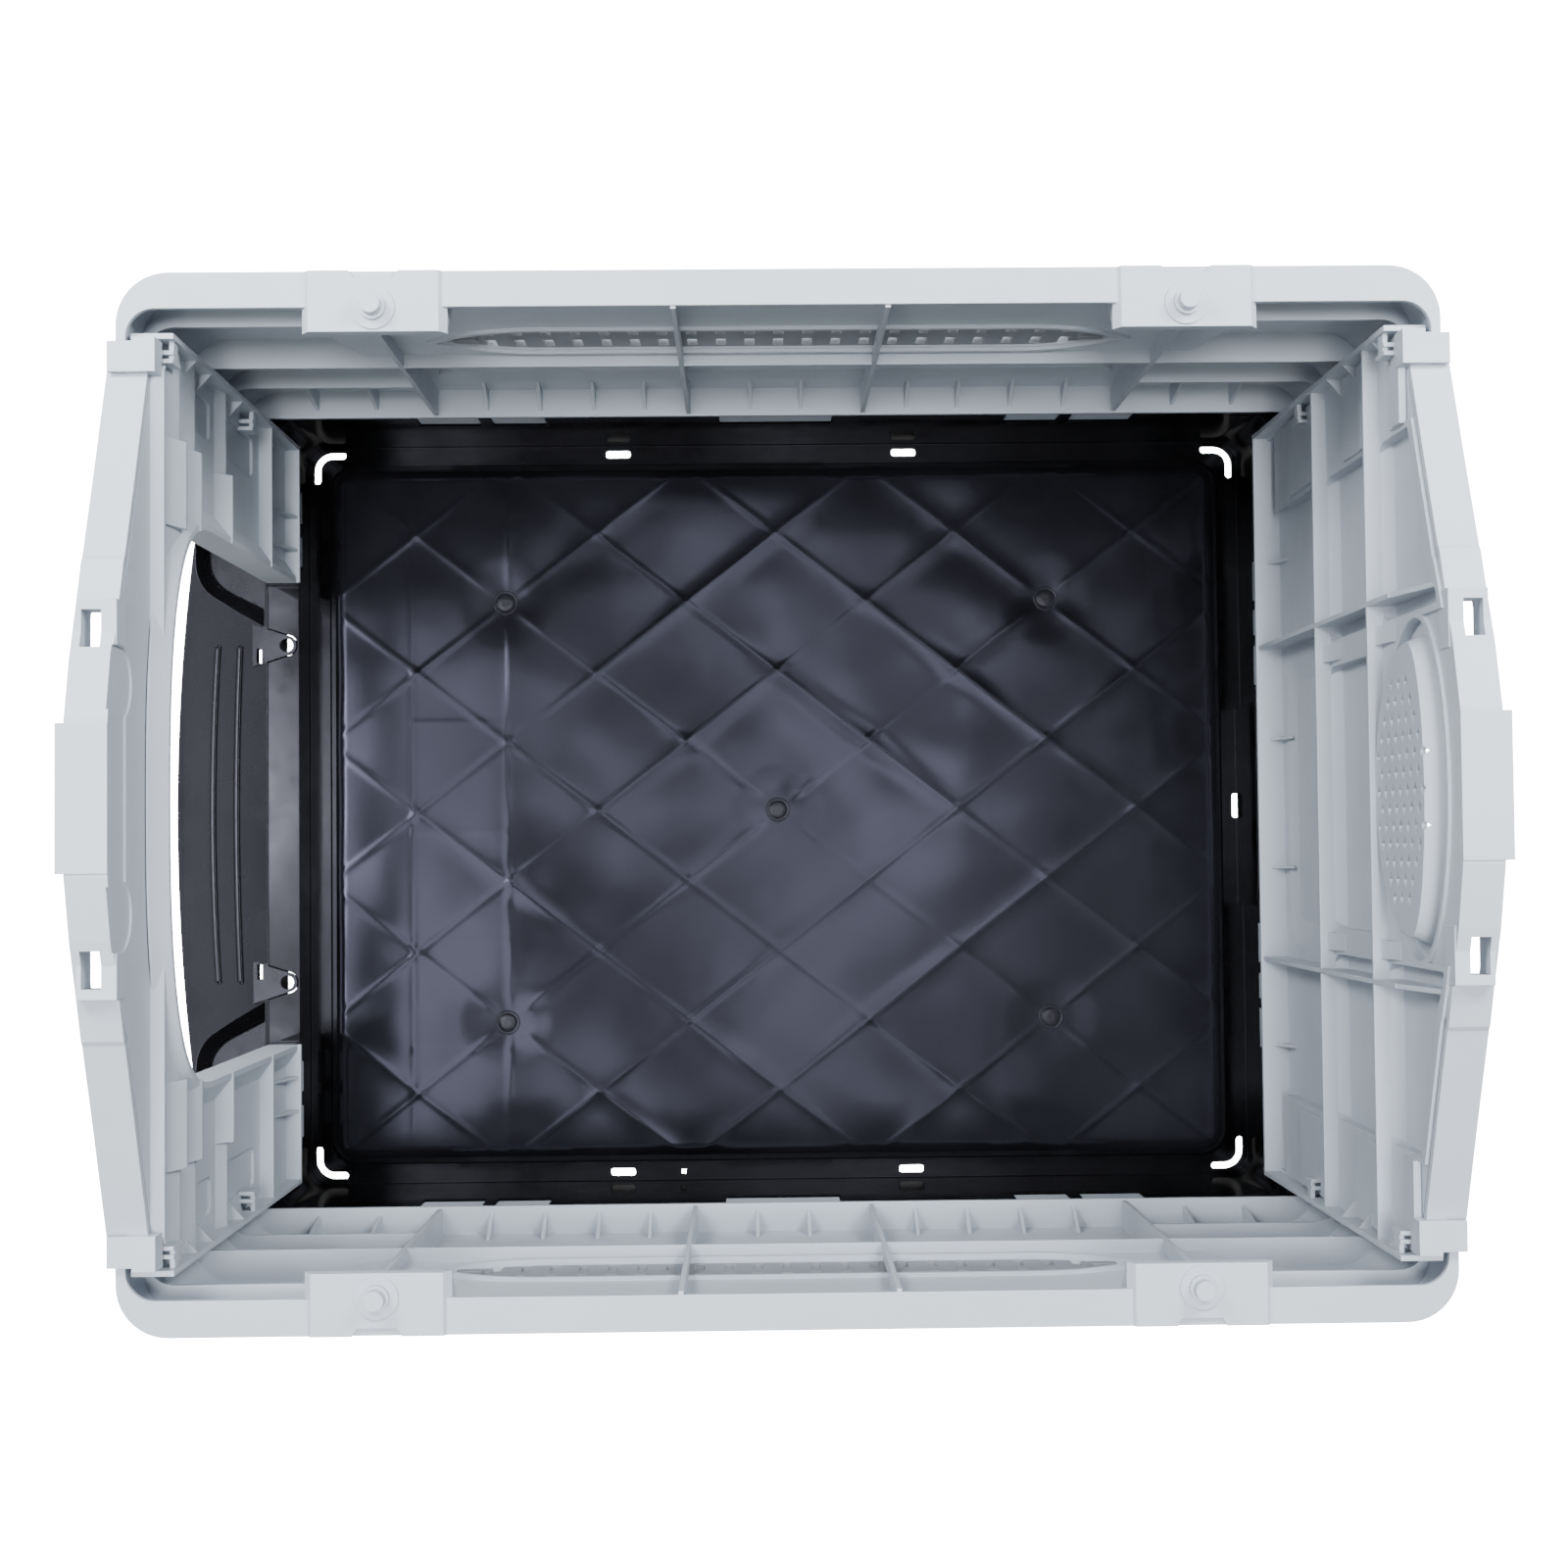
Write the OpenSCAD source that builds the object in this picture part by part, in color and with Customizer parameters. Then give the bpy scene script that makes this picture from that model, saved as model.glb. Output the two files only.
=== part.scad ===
// Collapsible crate body: a moulded tray, two side walls with rounded corner
// returns, two gabled end walls (one with a doorway, one with a vent), two
// snap-in vent strips, an entry step and the hinge pins. Roof not included.
// Millimetres, +Z up, origin at the middle of the tray, on the ground.
// The doorway is on the -X side, the vented wall is on the +X side.

/* [Crate] */
// Half length between the inner faces of the end walls
in_x = 281.4; // [281:0.1:283]
// Half width between the rib edges of the side walls
in_y = 225.4; // [225:0.1:227]
// Height of the tray ledge above the ground
ledge_z = 10; // [9:0.5:12]
// Wall thickness of the mouldings
skin = 3; // [2.5:0.1:3.2]
// Thickness of the stiffening ribs
rib_t = 2.4; // [1.8:0.1:3]

/* [Side walls] */
// Top of the side walls
side_z = 342; // [335:1:350]
// Bottom edge of the side walls
side_bot = 97; // [97:0.5:99]
// Outer half length of the side walls
side_ox = 306; // [306:0.5:307]
// Outer half width of the side walls
side_oy = 243.5; // [243:0.5:245]
// Radius of the outer corners
corner_r = 24; // [20:1:26]
// Distance of the corner returns from the centre line
return_y = 211.5; // [211:0.5:214]
// Height of the middle rib
mid_z = 222; // [210:1:228]

/* [Lid pegs] */
// Radius of a lid peg
peg_r = 4.5; // [3.5:0.1:5.5]
// Height of a lid peg
peg_h = 9; // [6:0.5:12]
// Distance of the pegs from the centre along the wall
peg_x = 187.5; // [184:0.5:190]
// Distance of the pegs from the centre line
peg_y = 226; // [225:0.5:229]

/* [End walls] */
// Top of the straight side edges of the end walls
eave_z = 335; // [330:1:336]
// Top of the gables
peak_z = 402.5; // [398:0.5:405]
// Half width of the end walls
end_hy = 217; // [216:0.5:217.5]
// Bottom edge of the front wall
front_bot = 55.4; // [55.4:0.1:56]
// Bottom edge of the rear wall
rear_bot = 68; // [68:0.1:69]

/* [Doorway] */
// Half width of the doorway
door_hy = 136; // [125:1:136]
// Top of the doorway arch
door_top = 333; // [300:1:333]

/* [Vents] */
// Columns of slots in a vent strip
slot_cols = 21; // [15:2:21]
// Pitch of the slots along the strip
slot_pitch = 14.5; // [13:0.5:14.5]
// Width of a slot
slot_w = 5; // [4:0.5:6]
// Height of a slot
slot_h = 13; // [9:0.5:14]

/* [Hinges] */
// Radius of the hinge pins
pin_r = 2.5; // [2:0.1:2.5]
// Radius of the hinge barrels
barrel_r = 6.3; // [5.5:0.1:6.3]
// Height of the front hinge line
front_az = 42; // [42:0.1:42.4]
// Height of the rear hinge line
rear_az = 56; // [56:0.1:56.4]
// Height of the side hinge lines
side_az = 80; // [79:0.5:81]

/* [Hidden] */
$fn = 64;

grey = "#c9d1d3";
vent_grey = "#8f969c";
black = "#17171a";
steel = "#b9bcc0";

// tray
tray_x = 304;            // outer half length
tray_y = 241.5;          // outer half width
tin_x = 285.2;           // inner half length of the upright rim
tin_y = 224.7;           // inner half width
rim_side = 96;           // top of the rim under the side walls
rim_front = front_bot - 2.2;
rim_door = rim_front - 12;   // the rim is lower between the door posts
door_y = 136;
rim_rear = rear_bot - 2;
post_y = 219.6;          // the rim is low between the corner posts
floor_top = ledge_z + 8;
// hinge lines
end_ax = 291.6;          // distance of the end hinge lines from the centre
side_ay = 231.5;         // distance of the side hinge lines
bore_r = pin_r + 0.08;   // running bore in the wall tabs
hold_r = pin_r + 0.02;   // bore in the tray lugs
// tab ranges
front_tabs = [[147, 164.5], [173, 191.5]];
front_lugs = [[137, 146.4], [165.1, 172.4], [192.1, 200]];
rear_tabs = [[70.5, 93.5], [100, 114.8], [120.6, 143.5]];
rear_lugs = [[63, 69.9], [94.1, 99.4], [115.4, 120], [144.1, 151]];
side_tabs = [[-206, -171.5], [-163.5, -133.5], [-32.5, 32.5], [133.5, 163.5], [171.5, 206]];
side_lugs = [[-214, -206.6], [-170.9, -164.1], [-132.9, -125], [-40, -33.1],
             [33.1, 40], [125, 132.9], [164.1, 170.9], [206.6, 214]];
side_pins = [[-213.5, -125.5], [-39.5, 39.5], [125.5, 213.5]];
// floor lattice
lat_x = 54.6;
lat_y = 42.3;
// end wall planes, measured from the centre
sk_i = 298;              // inner face of the outer skin
sk_o = 301;              // outer face of the outer skin
pl_i = 290;              // inner face of the raised border
rimx_i = 291.5;          // gable rim, inner edge
rimx_o = 310;            // gable rim, outer edge
ribx = 282.6;            // edge of the deep ribs
// vent
vent_z = 255;
grille_z = 333.5;

module xy(z0, z1) { translate([0, 0, z0]) linear_extrude(z1 - z0) children(); }
module xz(y0, y1) { translate([0, y1, 0]) rotate([90, 0, 0]) linear_extrude(y1 - y0) children(); }
module yz(x0, x1) { translate([x0, 0, 0]) rotate([90, 0, 90]) linear_extrude(x1 - x0) children(); }
module box(a, b) { translate(a) cube(b - a); }
module xwall(x0, x1, pts) { yz(x0, x1) polygon(pts); }
module both_y() { children(); mirror([0, 1, 0]) children(); }
module both_x() { children(); mirror([1, 0, 0]) children(); }

module rrect(a, b, r) {
    square([2 * (a - r), 2 * b], center = true);
    square([2 * a, 2 * (b - r)], center = true);
    for (sx = [-1, 1], sy = [-1, 1]) translate([sx * (a - r), sy * (b - r)]) circle(r);
}
// rectangle from corner to corner with rounded corners
module rbox2(x0, x1, y0, y1, r) {
    translate([(x0 + x1) / 2, (y0 + y1) / 2]) rrect((x1 - x0) / 2, (y1 - y0) / 2, r);
}
// plan of a side wall: straight, with both outer corners rounded, open to the middle
module uplate(a, b, r, y0) {
    translate([-a, y0]) square([2 * a, b - r - y0]);
    translate([-(a - r), y0]) square([2 * (a - r), b - y0]);
    intersection() {
        union() for (s = [-1, 1]) translate([s * (a - r), b - r]) circle(r);
        translate([-a, max(y0, b - r - 0.5)]) square([2 * a, r + 1]);
    }
}
module stadium(x0, x1, y0, y1) {
    r = (y1 - y0) / 2;
    translate([x0 + r, y0]) square([x1 - x0 - 2 * r, y1 - y0]);
    for (x = [x0 + r, x1 - r]) translate([x, y0 + r]) circle(r);
}
module ycyl(x, z, y0, y1, r) { translate([x, y0, z]) rotate([-90, 0, 0]) cylinder(h = y1 - y0, r = r); }
module xcyl(y, z, x0, x1, r) { translate([x0, y, z]) rotate([0, 90, 0]) cylinder(h = x1 - x0, r = r); }

// ---------------------------------------------------------------- tray
module l_slot() {
    // corner drain: a quarter ring with two straight ends
    difference() { circle(11.5); circle(7.2); translate([-20, -20]) square([40, 20]); translate([-20, -20]) square([20, 40]); }
    translate([-6, 7.2]) square([6, 4.3]);
    translate([-6, 9.35]) circle(2.15);
    translate([7.2, -6]) square([4.3, 6]);
    translate([9.35, -6]) circle(2.15);
}
module tongue2(g) {
    polygon([[-313, -12.5 - g], [-313, 12.5 + g], [-290.4, 5.3 + g], [-290.4, -5.3 - g]]);
    translate([-292.9, 0]) circle(5.9 + g);
}
module lattice() {
    a = atan2(lat_y, lat_x);
    for (k = [-4 : 4], s = [-1, 1])
        translate([2 * lat_x * k, 0, 0]) rotate([0, 0, s * a]) box([-460, -1, 0], [460, 1, ledge_z + 5]);
    box([-222.2, -206, 2], [-220.2, 206, ledge_z + 5]);
    box([-165, -206, 2], [-163, 206, ledge_z + 5]);
}
module base_tray() color(black) difference() {
    union() {
        difference() {
            xy(0, rim_side) rrect(tray_x, tray_y, corner_r);
            xy(ledge_z, rim_side + 1) rrect(tin_x, tin_y, 12);
            xy(-1, ledge_z + 1) rrect(tin_x - 22, tin_y - 20, 8);
            xy(-1, ledge_z - skin) rrect(tin_x + skin, tin_y + skin, 15);
            // hollow rim, open from below
            xy(-1, rim_door - skin) difference() { rrect(tray_x - skin, tray_y - skin, corner_r - skin); rrect(tin_x + skin, tin_y + skin, 15); }
            both_y() xy(-1, rim_front - skin) intersection() {
                difference() { rrect(tray_x - skin, tray_y - skin, corner_r - skin); rrect(tin_x + skin, tin_y + skin, 15); }
                translate([-320, door_y + skin]) square([40, 84]);
            }
            xy(-1, rim_rear - skin) intersection() {
                difference() { rrect(tray_x - skin, tray_y - skin, corner_r - skin); rrect(tin_x + skin, tin_y + skin, 15); }
                translate([280, -300]) square([40, 600]);
            }
            both_y() xy(-1, rim_side - skin) intersection() {
                difference() { rrect(tray_x - skin, tray_y - skin, corner_r - skin); rrect(tin_x + skin, tin_y + skin, 15); }
                translate([-400, post_y + skin]) square([800, 100]);
            }
            // low rim at both ends
            box([-320, -post_y, rim_front], [-tin_x + 6, post_y, 200]);
            box([-320, -door_y, rim_door], [-tin_x + 6, door_y, 200]);
            box([tin_x - 6, -post_y, rim_rear], [320, post_y, 200]);
            both_y() box([283, 212, 50], [285.4, 218.5, 70]);
            // hinge pockets
            both_y() for (t = front_tabs) box([-300.6, t[0] - 0.6, front_az - 10], [-tin_x + 2, t[1] + 0.6, rim_front + 1]);
            both_y() for (t = rear_tabs) box([tin_x - 2, t[0] - 0.6, rear_az - 10], [300.6, t[1] + 0.6, rim_rear + 1]);
            both_y() for (t = side_tabs) box([t[0] - 0.6, tin_y - 2, side_az - 8], [t[1] + 0.6, 238.5, rim_side + 1]);
            // foot line, set in a little
            xy(-1, 15) difference() { rrect(tray_x + 5, tray_y + 5, corner_r + 5); rrect(tray_x - 1.2, tray_y - 1.2, corner_r - 1.2); }
            // seats of the two step tongues
            both_y() translate([0, 100.5, 0]) xy(rim_door - 4, rim_door + 1) tongue2(0.6);
        }
        both_y() for (t = front_lugs) box([-301.5, t[0], front_az - 11], [-tin_x - 0.4, t[1], rim_front]);
        both_y() for (t = rear_lugs) box([tin_x + 0.4, t[0], rear_az - 11], [301.5, t[1], rim_rear]);
        both_y() for (t = side_lugs) box([t[0], tin_y + 0.4, side_az - 12], [t[1], 239, rim_side]);
        // stop block in the middle of the rear rim
        box([282, -60, ledge_z - 1], [tin_x + 1, 60, rim_rear - 4]);
        // raised floor
        difference() {
            xy(ledge_z - 1, floor_top) rrect(270.6, 211.6, 16);
            xy(ledge_z - 2, ledge_z + 4.6) rrect(266.6, 207.6, 12);
        }
        // ribs under the floor
        intersection() {
            lattice();
            box([-tin_x + 21, -tin_y + 19, 0], [tin_x - 21, tin_y - 19, 30]);
        }
    }
    // holes under the tongues
    both_y() translate([-292.9, 100.5, rim_door - 9]) cylinder(h = 12, r = 4.6);
    // pin bores in the lugs
    both_y() ycyl(-end_ax, front_az, 137.6, 199.4, hold_r);
    both_y() ycyl(end_ax, rear_az, 63.6, 150.4, hold_r);
    both_y() for (p = side_pins) xcyl(side_ay, side_az, p[0] - 0.05, p[1] + 0.05, hold_r);
    // drains
    xy(0, ledge_z + 1) {
        for (x = [-96, 79.5], s = [-1, 1]) translate([x, s * 219.6]) rbox2(-7.5, 7.5, -2.4, 2.4, 1.8);
        translate([281.3, 0]) rbox2(-2.4, 2.4, -7.5, 7.5, 1.8);
        translate([-59.2, -219.6]) square([3, 3], center = true);
    }
    for (sx = [0, 1], sy = [0, 1]) mirror([sx, 0, 0]) mirror([0, sy, 0])
        translate([270.9, 210.4, 0]) xy(0, ledge_z + 1) l_slot();
}

// ---------------------------------------------------------------- step
step_r = 1170;
step_z = rim_door - 1.2;      // top of the tread at the rim
// fall of the tread over its depth, t from 0 at the rim to 1 at the edge
function fall(t) = 9 * t + 8 * t * t * t;
module step_plan(g) {
    intersection() {
        translate([-362.1 + step_r, 0]) circle(step_r - g, $fn = 360);
        translate([-400, -168 + g]) square([400 - 304.4 - g, 336 - 2 * g]);
    }
}
module step_profile(d) {
    polygon(concat([[-304.4 + d, -1 * d], [-304.4 + d, step_z - d]], [for (i = [0 : 14]) [-304.4 - i * 4.43, step_z - d - fall(i / 14)]],
                   [[-370, step_z - d - 20], [-370, -1 * d]]));
}
// corner pockets beside the tread, wider by g
function mix(a, b, t) = a * (1 - t) + b * t;
module step_pocket(g) {
    v = [-345.5 - g, 142.5 - g];
    a = v + [0, 15];
    b = v + 15 * [0.89, -0.456];
    polygon(concat([[-306.4, 164], [-345.5 - g, 164]],
                   [for (i = [0 : 8]) mix(mix(a, v, i / 8), mix(v, b, i / 8), i / 8)],
                   [v + (39.1 + g) / 0.89 * [0.89, -0.456]]));
}
module pocket_cut() {
    // steep lower part, rounded lip above
    hull() { xy(11, 11.2) step_pocket(0); xy(step_z - 19, step_z - 18.8) step_pocket(1.5); }
    hull() { xy(step_z - 19, step_z - 18.8) step_pocket(1.5); xy(step_z + 6, step_z + 6.2) step_pocket(9); }
}
module entry_sill() color(black) difference() {
    union() {
        difference() {
            intersection() { xz(-168, 168) step_profile(0); xy(0, 80) step_plan(0); }
            difference() {
                intersection() { xz(-165, 165) step_profile(3); xy(-4, 80) step_plan(skin); }
                // floors and walls of the corner pockets
                both_y() intersection() {
                    union() {
                        xy(8, 80) step_pocket(4);
                        xy(step_z - 17, 80) step_pocket(7);
                        xy(step_z - 8, 80) step_pocket(10.5);
                    }
                    xy(-1, 80) step_plan(skin);
                }
                // webs under the tread
                for (y = [-80, -27, 27, 80]) box([-370, y - 1, -1], [-300, y + 1, 80]);
                both_y() for (y = [116]) box([-370, y - 1.2, -1], [-300, y + 1.2, 80]);
            }
            both_y() pocket_cut();
        }
        // two long ribs on the tread
        for (q = [[-323.6, 2100], [-338.6, 1450]]) intersection() {
            translate([q[0] + q[1], 0, 0]) difference() {
                cylinder(h = 80, r = q[1] + 1.3, $fn = 360);
                translate([0, 0, -1]) cylinder(h = 82, r = q[1] - 1.3, $fn = 360);
            }
            translate([0, 0, 1.4]) xz(-101, 101) difference() { step_profile(0); translate([0, -4]) step_profile(0); }
        }
        // tongues that lie in the rim
        both_y() translate([0, 100.5, 0]) xy(rim_door - 3, rim_door) tongue2(0);
        both_y() box([-311, 89.6, rim_door - 7.5], [-304.4, 111.4, rim_door - 0.8]);
    }
    both_y() translate([-292.9, 100.5, 0]) cylinder(h = 90, r = 3.9);
    both_y() box([-310.6, 89.8, -1], [-307.6, 98.6, rim_door + 1]);
}

// ---------------------------------------------------------------- side walls
lens_l = 169;
module lens(g) {
    // long strip with pointed round ends
    h = 20.5 + g;
    l = 49 + g * 1.6;
    r = (l * l + h * h) / (2 * h);
    translate([-120, -h]) square([240, 2 * h]);
    for (s = [-1, 1]) intersection() {
        translate([s * 120, h - r]) circle(r, $fn = 90);
        translate([s * 120, r - h]) circle(r, $fn = 90);
        translate([s > 0 ? 119 : -121 - l, -h]) square([l + 2, 2 * h]);
    }
}
module side_wall_shell() {
    difference() {
        union() {
            // outer skin with the corner returns
            xy(side_bot, side_z) difference() {
                uplate(side_ox, side_oy, corner_r, return_y);
                uplate(side_ox - skin, side_oy - skin, corner_r - skin, return_y - 5);
            }
            // top flange
            xy(side_z - skin, side_z) difference() {
                uplate(side_ox, side_oy, corner_r, return_y);
                uplate(301.5, in_y + 1.4, 13, return_y - 5);
            }
            // bottom plate, middle rib and corner ribs
            xy(side_bot, side_bot + skin) intersection() { uplate(side_ox - 1, side_oy - 1, corner_r - 1, return_y); translate([-400, in_y - 0.6]) square([800, 40]); }
            xy(mid_z, mid_z + rib_t) intersection() { uplate(side_ox - 1, side_oy - 1, corner_r - 1, return_y); translate([-400, in_y]) square([800, 40]); }
            // stepped ledges that wrap the corners
            for (q = [[305, 308, 226.4], [294.5, 306, 230], [209, mid_z + 1, 229], [190, 210, 232.5], [158, 161, 229], [150, 159, 232.5]])
                both_x() xy(q[0], q[1]) difference() {
                    intersection() { uplate(side_ox - 1, side_oy - 1, corner_r - 1, return_y); translate([198, 211.5]) square([200, 40]); }
                    uplate(302.4 - (q[2] - 226) * 0.5, q[2], 14, 205);
                }
        }
        // window for the recessed upper panel, with a slope below it
        both_x() box([298, 200, side_bot - 1], [302.2, 218.2, side_z - skin - 0.1]);
        xwall(-192, 192, [[side_oy + 2, side_z - skin], [235, side_z - skin], [235, 226], [side_oy + 0.2, 184], [side_oy + 2, 184]]);
        xz(239.6, side_oy + 1) stadium(-182, 182, 144, 162);
    }
    xwall(-193, 193, [[232, 228], [235, 228], [235, 226], [side_oy, 185], [side_oy, 180], [side_oy - skin, 180], [side_oy - skin, 184.5], [232, 225]]);
    // recessed upper panel with the vent opening
    difference() {
        box([-194.5, 232, mid_z + 0.5], [194.5, 235, side_z - 1]);
        translate([0, 0, vent_z]) xz(230, 240) lens(0.25);
    }
    // raised border round the vent
    translate([0, 0, vent_z]) xz(230.2, 232.1) difference() { lens(5); lens(1.8); }
    // upright ribs
    for (x = [-193.9, -49.8, 49.8, 193.9]) box([x - rib_t / 2, in_y, side_bot + 6], [x + rib_t / 2, 232.1, side_z - 1]);
    for (x = [-193.9, -49.8, 49.8, 193.9]) xwall(x - rib_t / 2, x + rib_t / 2, [[in_y, side_bot + 6], [side_oy - 1, side_bot + 6], [side_oy - 1, 183], [234, mid_z + 2], [in_y, mid_z + 2]]);
    both_x() box([192.7, in_y, mid_z], [195.1, side_oy - 0.5, side_z - 1]);
    // long raised bar in the lower bays, a groove on the outside
    xz(236.6, 239.6) stadium(-185, 185, 141, 165);
    xz(239, side_oy - 1) difference() { stadium(-185, 185, 141, 165); stadium(-182, 182, 144, 162); }
    // gussets along the bottom plate
    for (x = [-165, -134.5, -104, -75, -14.5, 14.5, 75, 104, 134.5, 165])
        yz(x - 1, x + 1) polygon([[228, side_bot + 2.5], [side_oy - 2, side_bot + 2.5], [side_oy - 2, side_bot + 24]]);
    both_x() for (x = [228, 262]) yz(x - 1, x + 1) polygon([[229, side_bot + 2.5], [side_oy - 2, side_bot + 2.5], [side_oy - 2, side_bot + 40], [236, side_bot + 38]]);
    // pockets beside the bosses
    both_x() xz(231.4, side_oy - 2) polygon([[196, 306], [236, 306], [228, 292], [222, 262], [212, mid_z + 1], [196, mid_z + 1]]);
}
module lid_boss() {
    // block that carries a lid peg
    difference() {
        translate([peg_x, 0, 0]) {
            xz(215, side_oy) polygon([[-33.5, side_z - 5], [33.5, side_z - 5], [33.5, side_z - 3], [30, side_z + 2], [-30, side_z + 2], [-33.5, side_z - 3]]);
            translate([0, peg_y, side_z + 1]) cylinder(h = 2, r = 10);
            translate([0, peg_y, side_z + 2.5]) cylinder(h = peg_h, r = peg_r);
            translate([0, peg_y, side_z + 2.5]) cylinder(h = 3, r = peg_r + 1.5);
            for (x = [-32.3, 0, 32.3]) yz(x - 1, x + 1) polygon([[216, side_z - 4], [234, side_z - 4], [234, side_z - 24]]);
        }
        xy(side_z - 1.5, side_z + 4) polygon([[peg_x - 12, side_oy + 1], [peg_x - 9, side_oy - 3.6], [peg_x + 9, side_oy - 3.6], [peg_x + 12, side_oy + 1]]);
    }
}
module side_wall() color(grey) {
    difference() {
        union() {
            side_wall_shell();
            both_x() lid_boss();
            for (t = side_tabs) {
                xcyl(side_ay, side_az, t[0], t[1], barrel_r);
                box([t[0], 225.2, side_az], [t[1], 237.8, side_bot + 1]);
            }
        }
        for (t = side_tabs) xcyl(side_ay, side_az, t[0] - 1, t[1] + 1, bore_r);
    }
}
module left_wall() side_wall();
module right_wall() mirror([0, 1, 0]) side_wall();

module vent_strip() color(vent_grey) {
    difference() {
        union() {
            translate([0, 0, vent_z]) xz(233, 235.2) lens(0);
            translate([0, 0, vent_z]) xz(235, 236.4) lens(4);
        }
        for (i = [0 : slot_cols - 1], r = [-1, 1])
            translate([(i - (slot_cols - 1) / 2) * slot_pitch - slot_w / 2, 230, vent_z + r * 11.2 - slot_h / 2]) cube([slot_w, 10, slot_h]);
    }
    // snap catches at the ends
    for (s = [-1, 1]) {
        translate([s * 157, 0, vent_z]) xz(231, 233.1) stadium(-6.5, 6.5, -3, 3);
    }
}
module left_vent_strip() vent_strip();
module right_vent_strip() mirror([0, 1, 0]) vent_strip();

// ---------------------------------------------------------------- end walls
// top line of the gable from the corner to the middle
gable = [[203, eave_z + 3], [200, 340], [149, 360], [108.2, 376.6], [106.2, 378.4], [88, 385], [62, 395], [34, peak_z]];
function flip(p) = [for (i = [len(p) - 1 : -1 : 0]) [-p[i][0], p[i][1]]];
function drop(p, d) = [for (q = p) [q[0], q[1] - d]];
module gable_band(t) { polygon(concat(gable, flip(gable), drop([for (q = gable) [-q[0], q[1]]], t), drop([for (i = [len(gable) - 1 : -1 : 0]) gable[i]], t))); }
// panel outline: straight sides, then the gable less d
module panel2(z0, hy, d) {
    polygon(concat([[hy, z0], [hy, eave_z - d], [203, eave_z - d]], [for (q = gable) [q[0] - (q[0] > 100 ? d : 0), q[1] - d]],
                   [for (i = [len(gable) - 1 : -1 : 0]) [-gable[i][0] + (gable[i][0] > 100 ? d : 0), gable[i][1] - d]],
                   [[-203, eave_z - d], [-hy, eave_z - d], [-hy, z0]]));
}
module end_rim() {
    // gable rim: bent plate, outer lip, corner caps, raised blocks
    difference() {
        union() {
            yz(rimx_i, rimx_o) gable_band(4);
            yz(rimx_o - 3, rimx_o) gable_band(13);
            yz(rimx_o - 1, rimx_o + 2.6) intersection() {
                translate([0, -7]) gable_band(9);
                polygon([[-206.5, 300], [-200, 380], [0, 420], [200, 380], [206.5, 300]]);
            }
            both_y() {
                box([287, 197, eave_z + 7.6], [rimx_o - 1, 211.2, eave_z + 10.6]);
                box([287, 205, eave_z + 7.6], [297.7, 213, eave_z + 10.6]);
                box([287, 197, eave_z - 2], [301, 203, eave_z + 8]);
                box([287, 203, eave_z - 2], [289.4, 213, eave_z + 8]);
                // raised latch block with its slot
                yz(rimx_i - 0.6, 308.7) polygon([[87.2, 377], [87.2, 391], [61, 391], [61, 377]]);
            }
            // middle block
            box([rimx_i, -32.5, peak_z - 12], [rimx_o + 4, 32.5, peak_z + 0.6]);
        }
        both_y() box([297.7, 66, 370], [306.4, 82.6, 420]);
        box([rimx_i - 1, -29.5, peak_z - 20], [rimx_o - 3.2, 29.5, peak_z - 3.4]);
    }
}
module side_frame(z0, gz) {
    both_y() {
        // side flange with gussets and the two latch fingers
        box([in_x, end_hy - 2.6, z0], [sk_o, end_hy, eave_z]);
        for (z = gz) xy(z - 0.8, z + 0.8) polygon([[in_x + 0.4, end_hy - 2], [pl_i + 1, end_hy - 2], [pl_i + 1, end_hy - 11], [pl_i, end_hy - 11]]);
        for (z = [163, 322]) {
            box([in_x + 1.2, end_hy - 13, z], [in_x + 3.4, end_hy - 2, z + 7]);
            box([in_x + 1.2, end_hy - 13, z - 5], [pl_i + 1, end_hy - 11, z + 9]);
            box([in_x + 1.2, end_hy - 9, z + 6.5], [pl_i + 1, end_hy - 7, z + 8.5]);
        }
    }
    // bottom plate
    box([in_x, -end_hy, z0], [sk_o, end_hy, z0 + skin]);
}
// plate of an end wall, its gable part flush with the rim at the top
module end_plate(z0) {
    difference() {
        union() {
            yz(pl_i, pl_i + skin) panel2(z0, end_hy - 1, 4);
            yz(pl_i, pl_i + 4.5) intersection() { panel2(z0, end_hy - 1, 4); translate([-250, eave_z - 8]) square([500, 100]); }
        }
        xz(-230, 230) polygon([[pl_i - 1, eave_z - 6], [pl_i, eave_z - 6], [rimx_i, eave_z + 1], [rimx_i, 420], [pl_i - 1, 420]]);
    }
}
module tabs(list, az, z0) {
    both_y() for (t = list) {
        ycyl(end_ax, az, t[0], t[1], barrel_r);
        box([283, t[0], az + 1], [297.9, t[1], z0 + 1]);
    }
}
module tab_bores(list, az) { both_y() for (t = list) ycyl(end_ax, az, t[0] - 1, t[1] + 1, bore_r); }

// rear wall: vent grille in the gable
grille_rows = [3, 4, 5, 6, 7, 6, 7, 6, 7, 6, 5, 4, 3];
module diamonds() {
    for (i = [0 : 12], j = [0 : grille_rows[i] - 1])
        translate([(i - 6) * 8.3, (j - (grille_rows[i] - 1) / 2) * 11.3]) polygon([[3.4, 0], [0, 2.7], [-3.4, 0], [0, -2.7]]);
}
function egg(a, bl, bu, zc, n) = [for (i = [0 : n - 1]) let (t = i * 360 / n) [a * cos(t), zc + (sin(t) > 0 ? bu : bl) * sin(t)]];
// raised pad that carries the grille, its sides sloping back to the valley round it
module grille_pad(g) {
    hull() {
        yz(285.2 + 1.3 * g, 285.3 + 1.3 * g) polygon(egg(67.5 - g, 52 - g, 23.5 - g, 347, 44));
        yz(297 + g, 297.1 + g) polygon(egg(72.5 - g, 57 - g, 30 - g, 347, 44));
    }
}
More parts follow.
